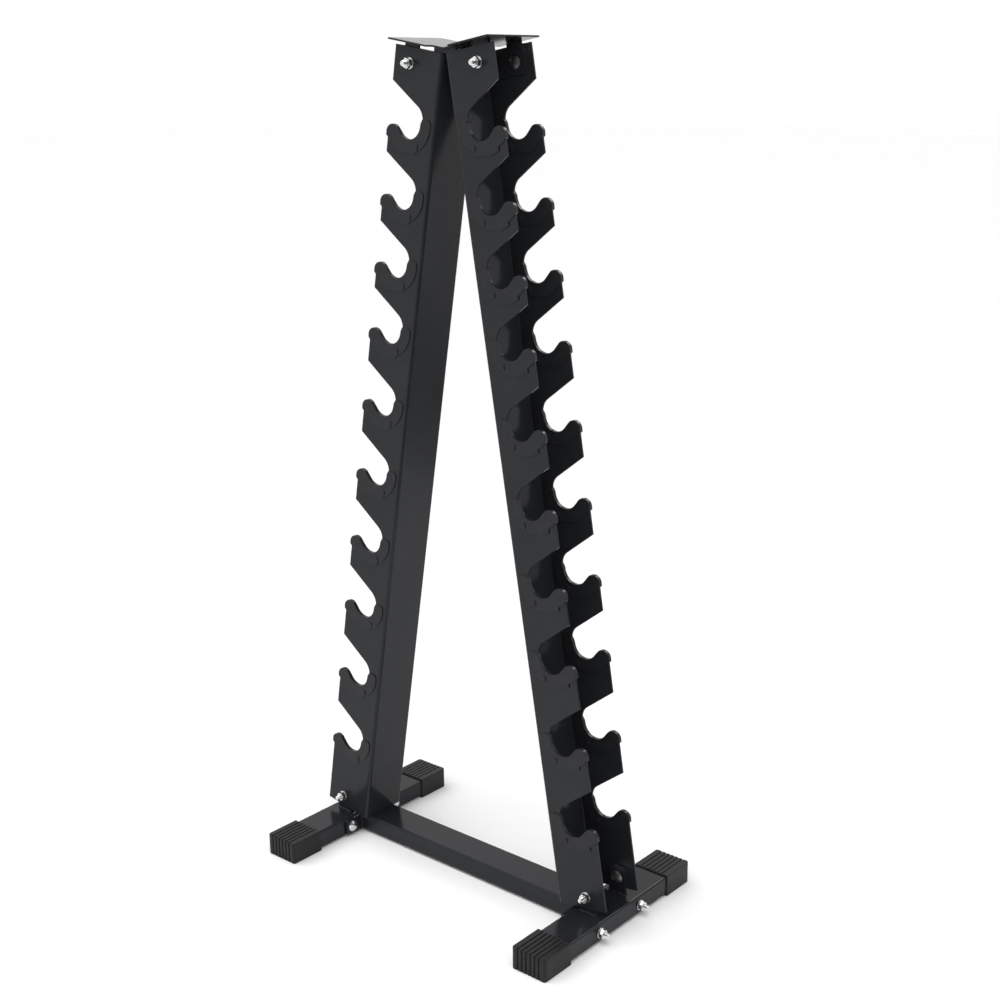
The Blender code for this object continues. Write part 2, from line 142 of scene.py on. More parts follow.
# The slot in the sheet at the liner's outer step, and the raised catch on each flap. Each place is
# X, and Z from the corner above.
CATCH_SLOT = (FLANGE_DEPTH - 0.0134, -0.0895)
CATCH_SLOT_SIZE = (0.0032, 0.0064)
CATCH_SLOT_CORNER = 0.0008
CATCH_DEPTH = 0.0020
BUTTON = (FLANGE_DEPTH - 0.0575, -0.0830)
BUTTON_SIZE = (0.0070, 0.0088)
BUTTON_CORNER = 0.0030
BUTTON_PROUD = 0.0015

# Foot caps.
CAP_WIDTH = CAP_HIGH.x - CAP_LOW.x
CAP_LENGTH = CAP_HIGH.y - CAP_LOW.y
CAP_HEIGHT = CAP_HIGH.z
CAP_END_WALL = 0.004
CAP_CORNER = 0.0045
CAP_ROUND = 0.0016
CAP_FIT = 0.0006
GROOVES = 6
GROOVE_PITCH = 0.0077
GROOVE_WIDTH = 0.0024
GROOVE_DEPTH = 0.0016

# Head bracket. The edges of the gusset and its tabs are X in an upright's frame.
HEAD_PLATE_THICK = 0.0025
HEAD_PLATE_RISE = 0.0057
HEAD_PLATE_HALF_DEPTH = 0.055
HEAD_PLATE_OVERHANG = 0.003
RELIEF_WIDTH = 0.040
RELIEF_DEPTH = 0.040
RELIEF_CORNER = 0.004
RELIEF_Y = 0.041
GUSSET_DROP = 0.039
GUSSET_CHAMFER = 0.008
GUSSET_INNER = 0.006
GUSSET_OUTER = 0.078
TAB_INNER = 0.047
TAB_OUTER = 0.0735
MIDDLE_TAB = 0.018

# Ears of the feet. The gussets are as thick.
EAR_THICK = 0.003
EAR_ROUND = 0.007

# Fasteners: M8 carriage bolts. The nut's chamfer starts at a part of the flats' radius.
BOLT_RADIUS = 0.004
BOLT_SIDES = 36
HOLE_RADIUS = 0.0045
THREAD_PITCH = 0.00125
THREAD_DEPTH = 0.00072
THREAD_END = 0.0075
THREAD_CHAMFER = 0.001
THREAD_LEAD = 0.001
THREAD_ROWS = 8
HEAD_RADIUS = 0.010
HEAD_HEIGHT = 0.0046
HEAD_RIM = 0.0008
SEAT_ROUND = 0.0002
NUT_ACROSS_FLATS = 0.013
NUT_HEIGHT = 0.0065
NUT_CHAMFER_START = 0.97
NUT_CHAMFER_ANGLE = math.radians(30)
WASHER_RADIUS = 0.008
WASHER_THICK = 0.0016
CROSSBAR_BOLT_Y = 0.050
CROSSBAR_PLATE_CORNER = 0.003
HEAD_BOLT = (0.058, LENGTH - 0.022)
FOOT_BOLT = (0.055, 0.0185)

# Weld beads: their size, the length of a ripple, and the sideways wander as a part of the radius.
BEAD_RADIUS = 0.0038
HEAD_BEAD_RADIUS = 0.0014
BEAD_RIPPLE = 0.0034
BEAD_STEPS = 6
BEAD_SIDES = 14
BEAD_SWAY = 0.14
BEAD_OVERLAP = 0.0005

# The photograph's viewpoint: the camera's place, its yaw, pitch down and roll in degrees, and its
# sensor and lens in millimetres.
CAMERA_PLACE = (1.4392, -1.6172, 1.2247)
CAMERA_ANGLES = (40.46, 15.80, 0.47)
CAMERA_SENSOR = 36.0
CAMERA_LENS = 54.1

# The shades of the two cards: a place along the card, from 0 to 1, and its brightness there.
NEAR_SHADES = [(0.0, 1.0), (0.25, 0.10), (0.75, 0.10), (1.0, 1.0)]
FAR_SHADES = [(0.0, 0.72), (0.12, 0.56), (0.25, 0.40), (0.42, 0.58), (0.56, 0.84), (1.0, 1.3)]


# ---------------------------------------------------------------- outlines

def arc(centre, radius, start, end, steps):
    """Points of an arc from one angle to another, in degrees, both ends included."""
    angles = [math.radians(start + (end - start) * i / steps) for i in range(steps + 1)]
    return [(centre[0] + radius * math.cos(a), centre[1] + radius * math.sin(a)) for a in angles]


def circle(radius, sides):
    return arc((0.0, 0.0), radius, 0, 360 - 360 / sides, sides - 1)


def rounded_rectangle(width, height, radius, steps=8):
    x, y = width / 2 - radius, height / 2 - radius
    points = []
    for centre, start in (((x, y), 0), ((-x, y), 90), ((-x, -y), 180), ((x, -y), 270)):
        points += arc(centre, radius, start, start + 90, steps)
    return points


def corner_heights():
    """Height along the channel of the flange corner above each cradle, from the top down."""
    heights = [LENGTH - FIRST_CORNER_DROP]
    for pitch in HOOK_PITCHES:
        heights.append(heights[-1] - pitch)
    return heights


def tangent_angle(wall):
    """The direction, in degrees, in which the cradle's arc meets the line to the tip, which is the
    same for the bare sheet and for a liner of this wall on it."""
    across, up = TIP_CENTRE[0] - CRADLE_CENTRE[0], TIP_CENTRE[1] - CRADLE_CENTRE[1]
    towards = math.degrees(math.atan2(up, across))
    radii = (CRADLE_RADIUS - wall) + (TIP_RADIUS + wall)
    return towards - math.degrees(math.acos(radii / math.dist(CRADLE_CENTRE, TIP_CENTRE)))


def cradle_run(wall, start, end):
    """The cradle and the tip of the hook, with the corner above at height 0: offset into the notch
    by wall, from one angle of the cradle's arc to one angle of the tip's."""
    leaves = tangent_angle(wall)
    points = arc(CRADLE_CENTRE, CRADLE_RADIUS - wall, start, 360 + leaves, 28)
    return points + arc(TIP_CENTRE, TIP_RADIUS + wall, 180 + leaves, end, 18)


def notch_outline(corner):
    """The notch below one corner: a ramp, a round throat, the cradle, and the hook's round tip."""
    outside = FLANGE_DEPTH + 2 * PAST
    run = NOTCH_DEPTH / math.tan(RAMP_ANGLE)
    throat = (NECK + THROAT_RADIUS, -(run + THROAT_RADIUS * math.tan(RAMP_ANGLE / 2)))
    points = [(outside, 0.0), (FLANGE_DEPTH, 0.0)]
    points += arc(throat, THROAT_RADIUS, 180 - math.degrees(RAMP_ANGLE), 180, 12)
    points += cradle_run(0.0, 180, 0)
    points.append((outside, -TIP_DROP))
    return [(x, corner + z) for x, z in points]


# ---------------------------------------------------------------- meshes

def object_from(edit, name, recalculate=True):
    if recalculate:
        bmesh.ops.recalc_face_normals(edit, faces=edit.faces)
    mesh = bpy.data.meshes.new(name)
    edit.to_mesh(mesh)
    edit.free()
    return bpy.data.objects.new(name, mesh)


def prism(name, outline, thickness, upright=False):
    """A solid of one outline, its two faces kept whole, thick along Z, or along Y if upright."""
    edit = bmesh.new()
    low = [edit.verts.new((x, y, -thickness / 2)) for x, y in outline]
    high = [edit.verts.new((x, y, thickness / 2)) for x, y in outline]
    edit.faces.new(list(reversed(low)))
    edit.faces.new(high)
    for i in range(len(outline)):
        j = (i + 1) % len(outline)
        edit.faces.new((low[i], low[j], high[j], high[i]))
    if upright:
        bmesh.ops.rotate(edit, verts=edit.verts, matrix=Matrix.Rotation(math.pi / 2, 3, "X"))
    return object_from(edit, name)


def joined(name, shapes):
    """One object from several shapes, each in its place."""
    edit = bmesh.new()
    for shape in shapes:
        shape.data.transform(shape.matrix_basis)
        edit.from_mesh(shape.data)
        bpy.data.objects.remove(shape)
    return object_from(edit, name, recalculate=False)


def cut(piece, cutter, operation="DIFFERENCE"):
    """The piece with the cutter taken out of it, or joined on by a union, as a plain mesh."""
    collection = bpy.context.scene.collection.objects
    collection.link(piece)
    collection.link(cutter)
    change = piece.modifiers.new("cut", "BOOLEAN")
    change.operation = operation
    change.object = cutter
    graph = bpy.context.evaluated_depsgraph_get()
    mesh = bpy.data.meshes.new_from_object(piece.evaluated_get(graph))
    name = piece.name
    bpy.data.objects.remove(piece)
    bpy.data.objects.remove(cutter)
    edit = bmesh.new()
    edit.from_mesh(mesh)
    bmesh.ops.remove_doubles(edit, verts=edit.verts, dist=2e-6)
    flat = math.radians(0.05)
    bmesh.ops.dissolve_limit(edit, angle_limit=flat, verts=edit.verts, edges=edit.edges)
    mesh.clear_geometry()
    edit.to_mesh(mesh)
    edit.free()
    mesh.name = name
    return bpy.data.objects.new(name, mesh)


def round_edges(piece, width, segments=2, angle=34):
    """Rounds the edges sharper than the angle, in degrees."""
    piece.data.shade_smooth()
    edges = piece.modifiers.new("rounded_edges", "BEVEL")
    edges.width = width
    edges.segments = segments
    edges.angle_limit = math.radians(angle)
    edges.use_clamp_overlap = False
    edges.miter_outer = "MITER_ARC"
    return piece


def shade_flat_faces(piece):
    """Keeps the shading of large faces flat up to their rounded edges."""
    normals = piece.modifiers.new("flat_faces", "WEIGHTED_NORMAL")
    normals.keep_sharp = True
    normals.weight = 100
    return piece


def soften(piece, width, segments=2, angle=34):
    return shade_flat_faces(round_edges(piece, width, segments, angle))


def smooth_up_to(piece, angle):
    """Smooth shading, broken at the edges sharper than the angle, in degrees."""
    piece.data.shade_smooth()
    piece.data.set_sharp_from_angle(angle=math.radians(angle))
    return piece


def loft(edit, rings):
    """Faces between each closed ring of corners and the next."""
    for a, b in zip(rings, rings[1:]):
        for k in range(len(a)):
            m = (k + 1) % len(a)
            edit.faces.new((a[k], a[m], b[m], b[k]))


def hole_cutter(radius, length, axis, centre, sides=32):
    turn = {"Y": Matrix.Rotation(-math.pi / 2, 4, "X"), "Z": Matrix.Identity(4)}[axis]
    edit = bmesh.new()
    bmesh.ops.create_cone(
        edit,
        cap_ends=True,
        segments=sides,
        radius1=radius,
        radius2=radius,
        depth=length,
        matrix=Matrix.Translation(centre) @ turn,
    )
    return object_from(edit, "hole", recalculate=False)


# ---------------------------------------------------------------- materials

def new_material(name):
    made = bpy.data.materials.new(name)
    made.use_nodes = True
    return made, made.node_tree, made.node_tree.nodes["Principled BSDF"]


def noise(tree, scale, detail, roughness=0.5):
    where = tree.nodes.new("ShaderNodeTexCoord")
    made = tree.nodes.new("ShaderNodeTexNoise")
    made.inputs["Scale"].default_value = scale
    made.inputs["Detail"].default_value = detail
    made.inputs["Roughness"].default_value = roughness
    tree.links.new(where.outputs["Object"], made.inputs["Vector"])
    return made.outputs["Fac"]


def between(tree, factor, low, high, start=0.3, end=0.7):
    """A number or a colour that runs from low to high with the factor."""
    ramp = tree.nodes.new("ShaderNodeMapRange")
    ramp.inputs["From Min"].default_value = start
    ramp.inputs["From Max"].default_value = end
    tree.links.new(factor, ramp.inputs["Value"])
    if isinstance(low, (int, float)):
        ramp.inputs["To Min"].default_value = low
        ramp.inputs["To Max"].default_value = high
        return ramp.outputs["Result"]
    mix = tree.nodes.new("ShaderNodeMix")
    mix.data_type = "RGBA"
    mix.inputs["A"].default_value = (*low, 1.0)
    mix.inputs["B"].default_value = (*high, 1.0)
    tree.links.new(ramp.outputs["Result"], mix.inputs["Factor"])
    return mix.outputs["Result"]


def finish(name, fixed, colours, tint, roughness, cloud, grain=None, height=0.0):
    """A material with fixed values on its shader. Its colour runs between two shades with the
    noise tint, and its roughness between two values with the noise cloud. The grain is a third
    noise, raised by the height. A noise is its scale, its detail and, unless 0.5, its roughness."""
    made, tree, shader = new_material(name)
    for socket, value in fixed.items():
        shader.inputs[socket].default_value = value
    tree.links.new(between(tree, noise(tree, *tint), *colours), shader.inputs["Base Color"])
    tree.links.new(between(tree, noise(tree, *cloud), *roughness), shader.inputs["Roughness"])
    if grain is not None:
        bump = tree.nodes.new("ShaderNodeBump")
        bump.inputs["Distance"].default_value = height
        tree.links.new(noise(tree, *grain), bump.inputs["Height"])
        tree.links.new(bump.outputs["Normal"], shader.inputs["Normal"])
    return made


def powder_coat():
    """Glossy black powder coat, a little cool, with a fine orange peel and a cloudy gloss."""
    return finish(
        "powder_coat",
        fixed={"Specular IOR Level": 0.180},
        colours=((0.0130, 0.0141, 0.0162), (0.0158, 0.0168, 0.0190)),
        tint=(18.0, 3.0),
        roughness=(0.15, 0.20),
        cloud=(60.0, 4.0),
        grain=(700.0, 2.0, 0.45),
        height=0.000008,
    )


def liner_plastic():
    """Moulded black plastic, a little duller than the coat, with a fine grain."""
    return finish(
        "liner_plastic",
        fixed={"Specular IOR Level": 0.20},
        colours=((0.0132, 0.0140, 0.0156), (0.0156, 0.0164, 0.0180)),
        tint=(90.0, 2.0),
        roughness=(0.20, 0.27),
        cloud=(400.0, 3.0),
        grain=(1800.0, 2.0, 0.6),
        height=0.000004,
    )


def cap_rubber():
    """Dense black moulded rubber: a dull sheen, a fine grain and a little dust."""
    return finish(
        "cap_rubber",
        fixed={"Specular IOR Level": 0.16},
        colours=((0.0100, 0.0102, 0.0106), (0.0165, 0.0165, 0.0168)),
        tint=(45.0, 5.0, 0.6),
        roughness=(0.31, 0.42),
        cloud=(160.0, 3.0),
        grain=(2200.0, 3.0, 0.65),
        height=0.000015,
    )


def zinc():
    """Bright zinc plating, a little uneven."""
    return finish(
        "zinc_plate",
        fixed={"Metallic": 1.0},
        colours=((0.66, 0.67, 0.69), (0.82, 0.82, 0.81)),
        tint=(260.0, 3.0),
        roughness=(0.14, 0.28),
        cloud=(900.0, 3.0),
        grain=(3000.0, 2.0),
        height=0.00001,
    )


def painted_shade_head():
    """Painted shade: a darker, duller metal for the bolt heads inside the channels, standing in for
    the shade there. The same bolts' threads and the crossbar's heads stay zinc.
    """
    return finish(
        "painted_shade_bolt_head",
        fixed={"Metallic": 1.0},
        colours=((0.20, 0.205, 0.21), (0.30, 0.305, 0.31)),
        tint=(300.0, 3.0),
        roughness=(0.38, 0.50),
        cloud=(700.0, 2.0),
    )


# ---------------------------------------------------------------- placing

def upright_frame(side):
    """The matrix that puts a piece drawn in an upright's frame on that side of the rack."""
    lean = Matrix.Rotation(-LEAN, 4, "Y")
    return Matrix.Rotation(SIDES[side], 4, "Z") @ Matrix.Translation(WEB_FOOT) @ lean


def side_sign(side):
    return 1 if side == "right" else -1


def in_world(side, point):
    """A point of an upright's middle plane, given as X and Z there, as X and Z in the world."""
    placed = upright_frame(side) @ Vector((point[0], 0.0, point[1]))
    return placed.x, placed.z


def add(piece, paint, place=None, stands_for=()):
    """Puts a piece in the scene, with its material, riding on the rack."""
    bpy.context.scene.collection.objects.link(piece)
    piece.data.materials.clear()
    piece.data.materials.append(paint)
    if place is not None:
        piece.matrix_world = place
    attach(piece, "root")
    if stands_for:
        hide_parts(*stands_for)
    return piece


# ---------------------------------------------------------------- uprights and liners

def channel_section():
    """The outline of the folded sheet across the channel: web at X 0, flanges towards +X."""
    half, inner = CHANNEL_WIDTH / 2, FOLD_RADIUS - SHEET
    folds = [(FOLD_RADIUS, half - FOLD_RADIUS), (FOLD_RADIUS, FOLD_RADIUS - half)]
    outside = [(FLANGE_DEPTH, half), *arc(folds[0], FOLD_RADIUS, 90, 180, 12)]
    outside += [*arc(folds[1], FOLD_RADIUS, 180, 270, 12), (FLANGE_DEPTH, -half)]
    inside = [(FLANGE_DEPTH, SHEET - half), *arc(folds[1], inner, 270, 180, 12)]
    inside += [*arc(folds[0], inner, 180, 90, 12), (FLANGE_DEPTH, half - SHEET)]
    return outside + inside


def catch_cutters():
    """The slot at each liner's outer step, cut a little way into both flanges from outside."""
    outline = rounded_rectangle(*CATCH_SLOT_SIZE, CATCH_SLOT_CORNER, 4)
    cutters = []
    for corner in corner_heights():
        for sign in ENDS.values():
            slot = prism("slot", outline, 2 * CATCH_DEPTH, upright=True)
            place = (CATCH_SLOT[0], sign * CHANNEL_WIDTH / 2, corner + CATCH_SLOT[1])
            slot.matrix_basis = Matrix.Translation(place)
            cutters.append(slot)
    return cutters


def make_upright(side, paint):
    channel = prism(side + "_channel", channel_section(), LENGTH)
    channel.data.transform(Matrix.Translation((0.0, 0.0, LENGTH / 2)))
    across = CHANNEL_WIDTH + 2 * PAST
    cuts = [prism("notch", notch_outline(c), across, upright=True) for c in corner_heights()]
    cuts += [hole_cutter(HOLE_RADIUS, across, "Y", (x, 0.0, z)) for x, z in (HEAD_BOLT, FOOT_BOLT)]
    channel = soften(cut(channel, joined("cuts", cuts)), EDGE_ROUND)
    # The slots come after the rounding, which would crease the flange between them and the holes.
    channel = cut(channel, joined("catch_slots", catch_cutters()))
    shade_flat_faces(smooth_up_to(channel, 60))
    add(channel, paint, upright_frame(side), [side + "_upright"])


def liner_outline():
    """The liner's face, with the corner above at height 0. It starts on the neck of the hook, runs
    round the cradle and over the tip proud of the sheet, and comes back as a flap."""
    points = [*LINER_START, *cradle_run(LINER_WALL, 184, 4), LINER_LIP]
    points += [(FLANGE_DEPTH + x, z) for x, z in FLAP_STEPS]
    points += arc(CRADLE_CENTRE, FLAP_RADIUS, 232, 170, 16)
    points += [(FLANGE_DEPTH + x, z) for x, z in FLAP_NECK]
    return points


def make_liner_mesh():
    """A U of plastic that clips over the sheet round one cradle, with a flap down each face."""
    thick = SHEET + 2 * (LINER_SLOT_GAP + LINER_FLAP)
    body = prism("liner", liner_outline(), thick, upright=True)
    face = rounded_rectangle(*BUTTON_SIZE, BUTTON_CORNER, 6)
    button = prism("button", face, thick + 2 * BUTTON_PROUD, upright=True)
    button.matrix_basis = Matrix.Translation((BUTTON[0], 0.0, BUTTON[1]))
    body = cut(body, button, "UNION")
    sheet_side = [(NECK, SHEET_TOP), *cradle_run(0.0, 180, 0), (FLANGE_DEPTH, SHEET_BOTTOM)]
    sheet_side += [(SHEET_INSIDE, SHEET_BOTTOM), (SHEET_INSIDE, SHEET_TOP)]
    slot = prism("slot", sheet_side, SHEET + 2 * LINER_SLOT_GAP, upright=True)
    return soften(cut(body, slot), LINER_ROUND, angle=40)


def make_liners(paint):
    """A liner on each cradle of each flange. They share one mesh."""
    pattern = make_liner_mesh()
    for side in SIDES:
        for end, sign in ENDS.items():
            for i, height in enumerate(corner_heights(), 1):
                liner = pattern.copy()
                liner.name = f"{side}_{end}_liner_{i:02d}"
                middle = sign * (CHANNEL_WIDTH - SHEET) / 2 * side_sign(side)
                place = upright_frame(side) @ Matrix.Translation((0.0, middle, height))
                add(liner, paint, place)
    bpy.data.objects.remove(pattern)


# ---------------------------------------------------------------- feet and crossbar

def tube(name, length):
    """A box tube along Y, its middle at the origin."""
    wide, tall = TUBE_WIDTH - 2 * TUBE_WALL, TUBE_HEIGHT - 2 * TUBE_WALL
    outer = rounded_rectangle(TUBE_WIDTH, TUBE_HEIGHT, TUBE_CORNER)
    inner = rounded_rectangle(wide, tall, TUBE_CORNER - TUBE_WALL, 6)
    made = prism(name, outer, length, upright=True)
    bore = prism("bore", inner, length + 2 * PAST, upright=True)
    return soften(cut(made, bore), FINE_ROUND)


def make_foot(side, paint):
    low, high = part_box(side + "_foot_tube")
    foot = tube(side + "_foot", high.y - low.y)
    place = Matrix.Translation((side_sign(side) * FOOT_X, 0.0, TUBE_MIDDLE_Z))
    add(foot, paint, place, [side + "_foot_tube"])


def make_crossbar(paint):
    low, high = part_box("crossbar_tube")
    bar = tube("crossbar", high.x - low.x)
    place = Matrix.Translation((0.0, 0.0, TUBE_MIDDLE_Z)) @ Matrix.Rotation(math.pi / 2, 4, "Z")
    add(bar, paint, place, ["crossbar_tube"])
    for side in SIDES:
        low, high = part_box(side + "_crossbar_plate")
        outline = rounded_rectangle(high.z - low.z, high.y - low.y, CROSSBAR_PLATE_CORNER, 6)
        plate = prism(side + "_end_plate", outline, high.x - low.x)
        centres = [(0.0, sign * CROSSBAR_BOLT_Y, 0.0) for sign in ENDS.values()]
        holes = [hole_cutter(HOLE_RADIUS, THROUGH, "Z", centre) for centre in centres]
        plate = soften(cut(plate, joined("holes", holes)), EDGE_ROUND)
        place = Matrix.Translation((low + high) / 2) @ Matrix.Rotation(math.pi / 2, 4, "Y")
        add(plate, paint, place, [side + "_crossbar_plate"])


def make_ears(side, paint):
    hole_x, hole_z = in_world(side, FOOT_BOLT)
    for end in ENDS:
        node = f"{side}_foot_{end}_ear"
        low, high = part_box(node)
        half, tall = (high.x - low.x) / 2, high.z - low.z
        outline = [(-half, 0.0), (half, 0.0)]
        outline += arc((half - EAR_ROUND, tall - EAR_ROUND), EAR_ROUND, 0, 90, 12)
        outline += arc((EAR_ROUND - half, tall - EAR_ROUND), EAR_ROUND, 90, 180, 12)
        ear = prism(f"{side}_{end}_ear", outline, high.y - low.y, upright=True)
        middle = (low + high) / 2
        hole = hole_cutter(HOLE_RADIUS, THROUGH, "Y", (hole_x - middle.x, 0.0, hole_z - low.z))
        ear = soften(cut(ear, hole), EAR_EDGE_ROUND)
        place = Matrix.Translation((middle.x, middle.y, low.z))
        add(ear, paint, place, [node])


def make_cap(side, end, paint):
    """A ribbed sleeve on one end of a foot, drawn with its closed end at -Y."""
    node = f"{side}_foot_{end}_cap"
    half_width, half_length = CAP_WIDTH / 2, CAP_LENGTH / 2
    outline = arc((CAP_CORNER - half_width, CAP_CORNER - half_length), CAP_CORNER, 180, 270, 10)
    outline += arc((half_width - CAP_CORNER, CAP_CORNER - half_length), CAP_CORNER, 270, 360, 10)
    outline += [(half_width, half_length), (-half_width, half_length)]
    cap = prism(f"{side}_{end}_cap", outline, CAP_HEIGHT)
    cap.data.transform(Matrix.Translation((0.0, 0.0, CAP_HEIGHT / 2)))
    cap = round_edges(cap, CAP_ROUND, segments=4, angle=60)
    face = rounded_rectangle(TUBE_WIDTH + CAP_FIT, TUBE_HEIGHT + CAP_FIT, TUBE_CORNER)
    pocket = prism("pocket", face, CAP_LENGTH, upright=True)
    pocket.matrix_basis = Matrix.Translation((0.0, CAP_END_WALL, TUBE_MIDDLE_Z))
    # A groove's cutter is an L, drawn with Y and Z as its two axes: down the end and over the top.
    deep_y, deep_z = GROOVE_DEPTH - half_length, CAP_HEIGHT - GROOVE_DEPTH
    end_y, open_y, high_z = -half_length - PAST, half_length + PAST, CAP_HEIGHT + PAST
    side_view = [(end_y, -PAST), (deep_y, -PAST), (deep_y, deep_z)]
    side_view += [(open_y, deep_z), (open_y, high_z), (end_y, high_z)]
    stand = Matrix(((0, 0, 1, 0), (1, 0, 0, 0), (0, 1, 0, 0), (0, 0, 0, 1)))
    hollows = [pocket]
    for i in range(GROOVES):
        groove = prism("groove", side_view, GROOVE_WIDTH)
        shift = GROOVE_PITCH * (i - (GROOVES - 1) / 2)
        groove.matrix_basis = Matrix.Translation((shift, 0.0, 0.0)) @ stand
        hollows.append(groove)
    cap = soften(cut(cap, joined("hollows", hollows)), EDGE_ROUND, angle=50)
    low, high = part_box(node)
    middle_y = (low.y + high.y) / 2
    place = Matrix.Translation((side_sign(side) * FOOT_X, middle_y, 0.0))
    if end == "back":
        place = place @ Matrix.Rotation(math.pi, 4, "Z")
    add(cap, paint, place, [node])


# ---------------------------------------------------------------- head bracket

def middle_point(z):
    """Where a line across the channel at that height meets the rack's middle plane, as X and Z."""
    across = (WEB_FOOT.x - z * math.sin(LEAN)) / math.cos(LEAN)
    return in_world("right", (-across, z))


def mirrored_outline(half):
    """A closed outline from its right half, which starts and ends on the middle plane."""
    return half + [(-x, z) for x, z in reversed(half[1:-1])]


def make_head(paint):
    under = LENGTH + HEAD_PLATE_RISE
    over = under + HEAD_PLATE_THICK
    tip = FLANGE_DEPTH + HEAD_PLATE_OVERHANG
    edge = [in_world("right", (tip, z)) for z in (under, over)]
    outline = mirrored_outline([middle_point(under), *edge, middle_point(over)])
    plate = prism("head_plate_visual", outline, 2 * HEAD_PLATE_HALF_DEPTH, upright=True)
    reliefs = []
    for sign in ENDS.values():
        face = rounded_rectangle(RELIEF_WIDTH, RELIEF_DEPTH, RELIEF_CORNER)
        relief = prism("relief", face, 3 * THROUGH)
        place = (0.0, sign * (RELIEF_Y + RELIEF_DEPTH / 2), middle_point(over)[1])
        relief.matrix_basis = Matrix.Translation(place)
        reliefs.append(relief)
    plate = soften(cut(plate, joined("reliefs", reliefs)), EDGE_ROUND)
    add(plate, paint, None, ["head_plate"])

    low, tab_top, bridge = LENGTH - GUSSET_DROP, under - CLEAR, LENGTH + 2 * CLEAR
    drawn = [
        (GUSSET_INNER, bridge),
        (GUSSET_INNER, low),
        (GUSSET_OUTER - GUSSET_CHAMFER, low),
        (GUSSET_OUTER, low + GUSSET_CHAMFER),
        (GUSSET_OUTER, LENGTH),
        (TAB_OUTER, LENGTH),
        (TAB_OUTER, tab_top),
        (TAB_INNER, tab_top),
        (TAB_INNER, LENGTH),
        (MIDDLE_TAB, LENGTH),
        (MIDDLE_TAB, tab_top),
    ]
    half = [middle_point(bridge), *(in_world("right", p) for p in drawn), middle_point(tab_top)]
    for end in ENDS:
        node = f"head_{end}_gusset"
        box_low, box_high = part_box(node)
        thick = box_high.y - box_low.y
        gusset = prism(f"{end}_gusset", mirrored_outline(half), thick, upright=True)
        holes = []
        for side in SIDES:
            x, z = in_world(side, HEAD_BOLT)
            holes.append(hole_cutter(HOLE_RADIUS, THROUGH, "Y", (x, 0.0, z)))
        gusset = soften(cut(gusset, joined("holes", holes)), FINE_ROUND)
        place = Matrix.Translation((0.0, (box_low.y + box_high.y) / 2, 0.0))
        add(gusset, paint, place, [node])


# ---------------------------------------------------------------- fasteners

def head_dome(steps):
    """The bolt head from rim to near its crown, as (radius, y): part of a ball on a low rim."""
    rise = HEAD_HEIGHT - HEAD_RIM
    ball = (HEAD_RADIUS ** 2 + rise ** 2) / (2 * rise)
    start = math.degrees(math.acos(HEAD_RADIUS / ball))
    return arc((0.0, HEAD_HEIGHT - ball), ball, start, 90, steps)[:-1]


def thread_radius(along, angle):
    """The radius of the thread at a distance from the bolt's end and an angle round it."""
    phase = (along / THREAD_PITCH + angle / math.tau) % 1.0
    valley = abs(2.0 * phase - 1.0)
    # The slope of 1.25 and the 0.12 leave a flat at the crest and another at the root.
    cutting = THREAD_DEPTH * min(1.0, max(0.0, 1.25 * valley - 0.12))
    chamfer = 0.8 * max(0.0, THREAD_CHAMFER - along)
    return BOLT_RADIUS - cutting - chamfer


def make_bolt(name, length, start):
    """A carriage bolt along -Y with a helical thread from start to its chamfered end."""
    threaded = length - start
    steps = int(threaded / THREAD_PITCH * THREAD_ROWS)
    rows = [(-length + threaded * i / steps, None) for i in range(steps + 1)]
    rows += [(SEAT_ROUND - start, BOLT_RADIUS), (0.0, BOLT_RADIUS)]
    rows += [(0.0, HEAD_RADIUS - SEAT_ROUND), (SEAT_ROUND, HEAD_RADIUS)]
    rows += [(y, radius) for radius, y in head_dome(10)]
    edit = bmesh.new()
    rings = []
    for y, plain in rows:
        made = []
        for k in range(BOLT_SIDES):
            angle = math.tau * k / BOLT_SIDES
            radius = plain if plain is not None else thread_radius(y + length, angle)
            made.append(edit.verts.new((radius * math.cos(angle), y, radius * math.sin(angle))))
        rings.append(made)
    loft(edit, rings)
    edit.faces.new(rings[0])
    crown = edit.verts.new((0.0, HEAD_HEIGHT, 0.0))
    for k in range(BOLT_SIDES):
        edit.faces.new((rings[-1][k], rings[-1][(k + 1) % BOLT_SIDES], crown))
    return smooth_up_to(object_from(edit, name), 50)


def make_nut_mesh():
    """A hexagon nut with both faces turned to a 30 degree chamfer, along Y."""
    corner, half = NUT_ACROSS_FLATS / math.sqrt(3), NUT_HEIGHT / 2
    nut = prism("nut", circle(corner, 6), NUT_HEIGHT, upright=True)
    # The chamfer's cutter is a ring: it starts a hair above the face, just inside the flats, and
    # slopes down to well outside the corners.
    inner, outer, far = NUT_ACROSS_FLATS / 2 * NUT_CHAMFER_START, 3 * PAST, THROUGH
    drop = (outer - inner) * math.tan(NUT_CHAMFER_ANGLE)
    section = [(inner, half * 1.0001), (outer, half - drop), (outer, far), (inner, far)]
    shapes = []
    for sign in (-1, 1):
        edit = bmesh.new()
        points = [edit.verts.new((radius, sign * y, 0.0)) for radius, y in section]
        edges = [edit.edges.new((points[i], points[(i + 1) % 4])) for i in range(4)]
        bmesh.ops.spin(
            edit,
            geom=points + edges,
            cent=(0, 0, 0),
            axis=(0, 1, 0),
            angle=math.tau,
            steps=48,
            use_merge=True,
        )
        bmesh.ops.remove_doubles(edit, verts=edit.verts, dist=1e-6)
        shapes.append(object_from(edit, "chamfer"))
    shapes.append(hole_cutter(BOLT_RADIUS + CLEAR, THROUGH, "Y", (0, 0, 0), BOLT_SIDES))
    return smooth_up_to(cut(nut, joined("nut_cuts", shapes)), 25)


